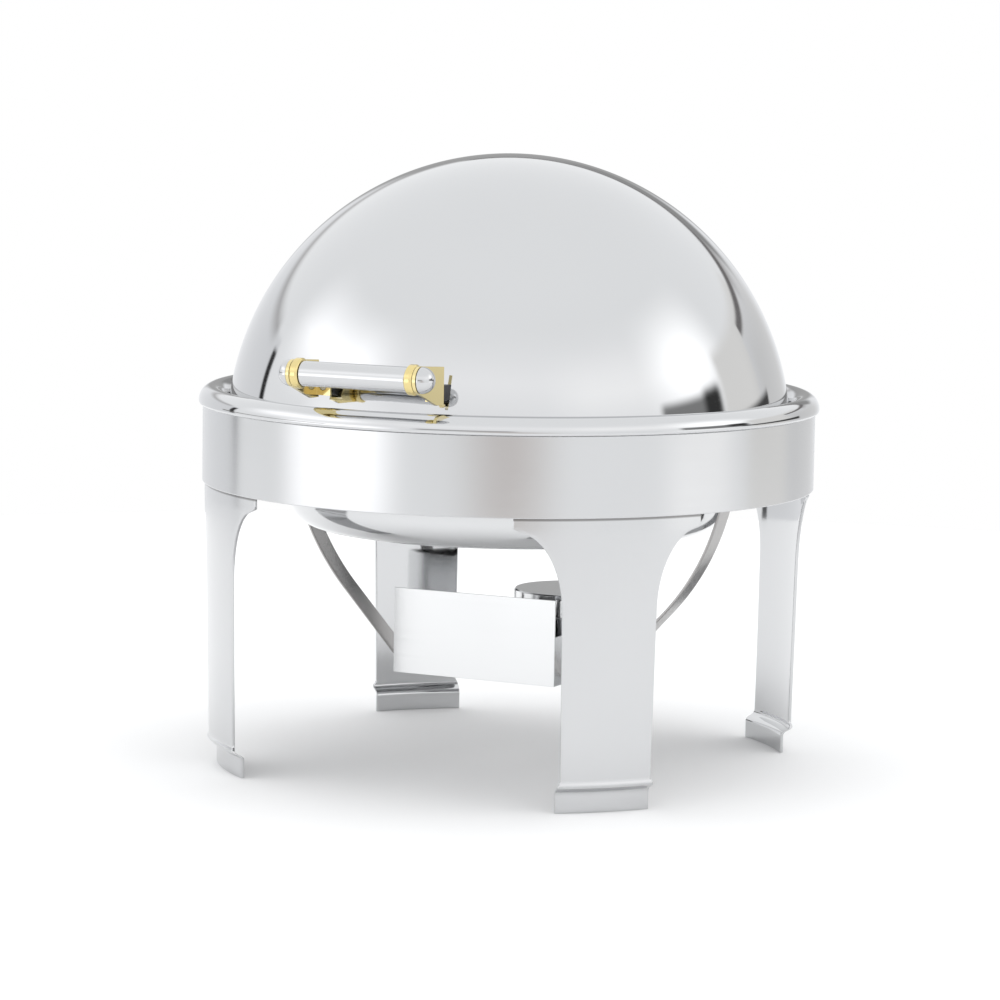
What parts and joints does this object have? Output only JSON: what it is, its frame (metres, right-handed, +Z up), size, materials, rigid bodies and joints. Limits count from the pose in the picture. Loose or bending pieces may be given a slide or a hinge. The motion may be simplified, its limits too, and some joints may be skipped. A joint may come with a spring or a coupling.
{
  "type": "roll top chafer",
  "caption": "Round chafer: half-sphere lid that rolls back on side pivots, ring frame with bent plate legs, water pan, food pan and a fuel holder hung under it.",
  "frame": {"origin": "on the table, under the middle of the object's bounding box; the pivot axis crosses x = 0 at y = 0.0106, z = 0.2407", "axes": "+Z up, -Y to the front where the handle is, X along the lid's pivot axis with +X to the right seen from the front"},
  "size_m": [0.456, 0.4772, 0.448],
  "materials": {
    "polished_steel": "mirror-polished stainless steel",
    "bright_steel": "bright pressed stainless steel, faint forming marks",
    "satin_steel": "fine satin stainless steel",
    "polished_brass": "polished and lacquered brass",
    "zinc_hardware": "zinc-plated steel fasteners",
    "nylon": "natural nylon bearing pieces",
    "black_spacer": "black moulded heat spacer"
  },
  "bodies": {
    "frame": {"cradle_ring": "satin_steel", "frame_band": "satin_steel", "fuel_cup": "bright_steel", "fuel_tray": "bright_steel", "hoop_strap": "satin_steel", "leg_bolt_front_left_a": "zinc_hardware", "leg_bolt_front_left_b": "zinc_hardware", "leg_bolt_front_right_a": "zinc_hardware", "leg_bolt_front_right_b": "zinc_hardware", "leg_bolt_rear_left_a": "zinc_hardware", "leg_bolt_rear_left_b": "zinc_hardware", "leg_bolt_rear_right_a": "zinc_hardware", "leg_bolt_rear_right_b": "zinc_hardware", "leg_front_left": "satin_steel", "leg_front_right": "satin_steel", "leg_rear_left": "satin_steel", "leg_rear_right": "satin_steel", "lid_stop_pin_left": "zinc_hardware", "lid_stop_pin_right": "zinc_hardware", "pivot_block_left": "zinc_hardware", "pivot_block_right": "zinc_hardware", "pivot_lug_left": "satin_steel", "pivot_lug_right": "satin_steel", "pivot_nut_left": "zinc_hardware", "pivot_nut_right": "zinc_hardware", "pivot_stud_left": "zinc_hardware", "pivot_stud_right": "zinc_hardware", "pivot_washer_left": "nylon", "pivot_washer_right": "nylon", "rim_bead": "polished_steel", "snuffer_post": "zinc_hardware", "tray_bolt_left": "zinc_hardware", "tray_bolt_right": "zinc_hardware", "tray_nut_left": "zinc_hardware", "tray_nut_right": "zinc_hardware", "water_pan": "bright_steel"},
    "lid": {"handle_bracket_left": "polished_brass", "handle_bracket_right": "polished_brass", "handle_cap_nut_left": "polished_steel", "handle_cap_nut_right": "polished_steel", "handle_collar_left": "polished_brass", "handle_collar_right": "polished_brass", "handle_grip": "polished_steel", "handle_rod": "zinc_hardware", "handle_screw_left": "zinc_hardware", "handle_screw_right": "zinc_hardware", "handle_spacer_left": "black_spacer", "handle_spacer_right": "black_spacer", "lid_bush_left": "nylon", "lid_bush_right": "nylon", "lid_dome": "polished_steel", "lid_ear_left": "satin_steel", "lid_ear_right": "satin_steel", "lid_rivet_left_a": "zinc_hardware", "lid_rivet_left_b": "zinc_hardware", "lid_rivet_right_a": "zinc_hardware", "lid_rivet_right_b": "zinc_hardware"},
    "food_pan": {"food_pan": "bright_steel"},
    "snuffer": {"snuffer_lid": "bright_steel"}
  },
  "joints": [
    {"name": "lid_roll", "type": "hinge", "parent": "frame", "child": "lid", "pos_m": [0, 0.0106, 0.2407], "axis": [-1, 0, 0], "range_deg": [0, 148]},
    {"name": "food_pan_lift", "type": "slide", "parent": "frame", "child": "food_pan", "axis": [0, 0, 1], "range_m": [0, 0.038]},
    {"name": "snuffer_swing", "type": "hinge", "parent": "frame", "child": "snuffer", "pos_m": [0.057, -0.0134, 0.1207], "axis": [0, 0, 1], "range_deg": [-25, 48]}
  ]
}
